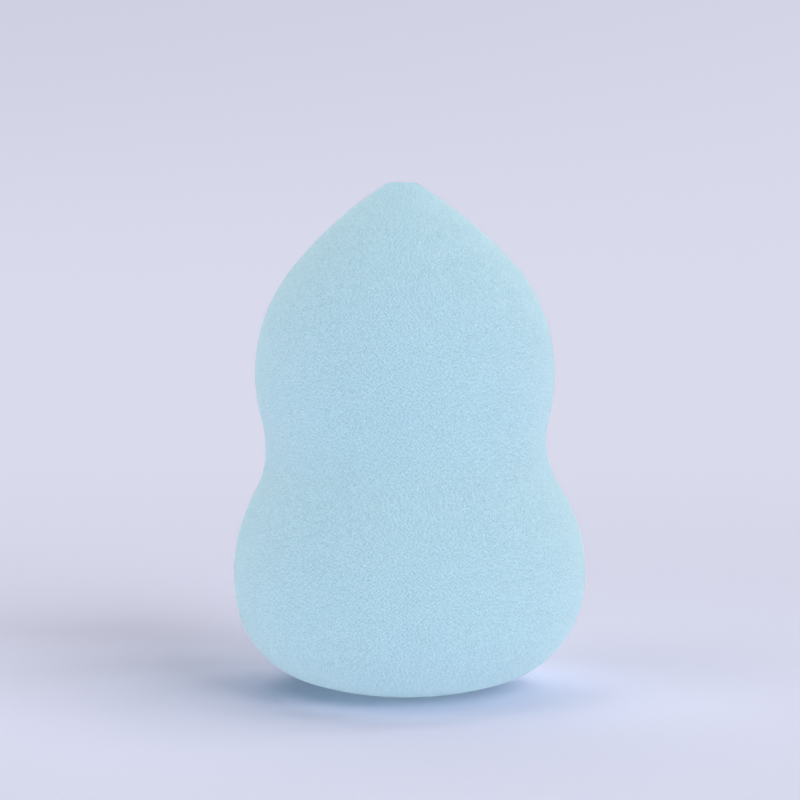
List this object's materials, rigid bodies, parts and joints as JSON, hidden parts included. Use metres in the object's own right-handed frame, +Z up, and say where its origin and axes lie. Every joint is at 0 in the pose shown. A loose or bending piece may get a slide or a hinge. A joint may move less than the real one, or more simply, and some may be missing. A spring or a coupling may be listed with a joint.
{
  "type": "makeup sponge",
  "caption": "Soft foam sponge shaped like a gourd, with a round lower lobe, a gentle waist and a pointed upper lobe, for dabbing and blending makeup.",
  "frame": {"origin": "middle of the flat on the underside, on which the sponge stands", "axes": "+Z up along the axis of revolution, from the foot to the tip; X and Y are alike"},
  "size_m": [0.0416, 0.0416, 0.06],
  "materials": {
    "foam": "soft dull foam skin with fine closed-looking cells, dyed pale cyan all through"
  },
  "bodies": {
    "root": {"foam_body": "foam"}
  },
  "joints": []
}
